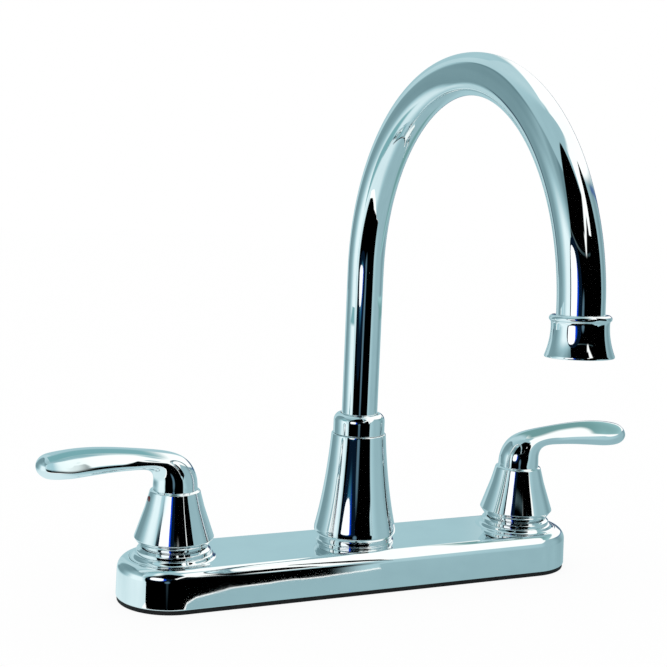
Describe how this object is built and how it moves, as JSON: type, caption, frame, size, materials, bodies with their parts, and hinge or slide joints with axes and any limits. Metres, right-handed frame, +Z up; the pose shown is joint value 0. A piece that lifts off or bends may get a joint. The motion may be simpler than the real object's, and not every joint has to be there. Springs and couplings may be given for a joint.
{
  "type": "two-handle deck faucet",
  "caption": "Chrome deck-mounted faucet: long cover plate, swivelling gooseneck spout on a flared bell, and a quarter-turn lever handle at each end.",
  "frame": {"origin": "on the sink's upper face, under the centre of the deck cover, on the spout's axis", "axes": "+Z up out of the sink deck, +X from the hot handle towards the cold handle, -Y towards the user, where the spout reaches"},
  "size_m": [0.3438, 0.2385, 0.3312],
  "materials": {
    "chrome_plate": "polished",
    "brass_rough": "satin",
    "copper_tube": "satin",
    "black_rubber": "matte",
    "ceramic_disc": "satin",
    "white_plastic": "matte",
    "grey_plastic": "matte",
    "steel_bright": "satin",
    "plug_red": "gloss",
    "plug_blue": "gloss"
  },
  "bodies": {
    "base": {"deck_cover": "chrome_plate", "deck_gasket": "black_rubber", "spout_post": "brass_rough", "mounting_washers": "steel_bright", "mounting_nuts": "white_plastic", "spout_base_ring": "chrome_plate", "spout_bell": "chrome_plate", "spout_nut": "chrome_plate", "spout_bushing": "white_plastic", "thrust_washer": "white_plastic", "hot_valve_body": "brass_rough", "hot_cross_tube": "copper_tube", "hot_base_ring": "chrome_plate", "hot_seat_seal": "black_rubber", "hot_fixed_disc": "ceramic_disc", "hot_cartridge_housing": "brass_rough", "hot_housing_seal": "black_rubber", "hot_cap_nut": "brass_rough", "cold_valve_body": "brass_rough", "cold_cross_tube": "copper_tube", "cold_base_ring": "chrome_plate", "cold_seat_seal": "black_rubber", "cold_fixed_disc": "ceramic_disc", "cold_cartridge_housing": "brass_rough", "cold_housing_seal": "black_rubber", "cold_cap_nut": "brass_rough"},
    "spout": {"spout_foot": "brass_rough", "spout_seals": "black_rubber", "retaining_ring": "steel_bright", "spout_tube": "chrome_plate", "spout_tip": "chrome_plate", "aerator_washer": "black_rubber", "aerator_body": "grey_plastic", "stream_plate": "grey_plastic"},
    "hot_lever": {"hot_moving_disc": "ceramic_disc", "hot_stem": "brass_rough", "hot_stem_seals": "black_rubber", "hot_stem_clip": "steel_bright", "hot_handle": "chrome_plate", "hot_set_screw": "steel_bright", "hot_index_plug": "plug_red"},
    "cold_lever": {"cold_moving_disc": "ceramic_disc", "cold_stem": "brass_rough", "cold_stem_seals": "black_rubber", "cold_stem_clip": "steel_bright", "cold_handle": "chrome_plate", "cold_set_screw": "steel_bright", "cold_index_plug": "plug_blue"}
  },
  "joints": [
    {"name": "spout_swivel", "type": "hinge", "parent": "base", "child": "spout", "pos_m": [0, 0, 0.076], "axis": [0, 0, 1], "continuous": true},
    {"name": "hot_handle_turn", "type": "hinge", "parent": "base", "child": "hot_lever", "pos_m": [-0.1016, 0, 0.04], "axis": [0, 0, 1], "range_deg": [0, 90]},
    {"name": "cold_handle_turn", "type": "hinge", "parent": "base", "child": "cold_lever", "pos_m": [0.1016, 0, 0.04], "axis": [0, 0, 1], "range_deg": [-90, 0]}
  ]
}
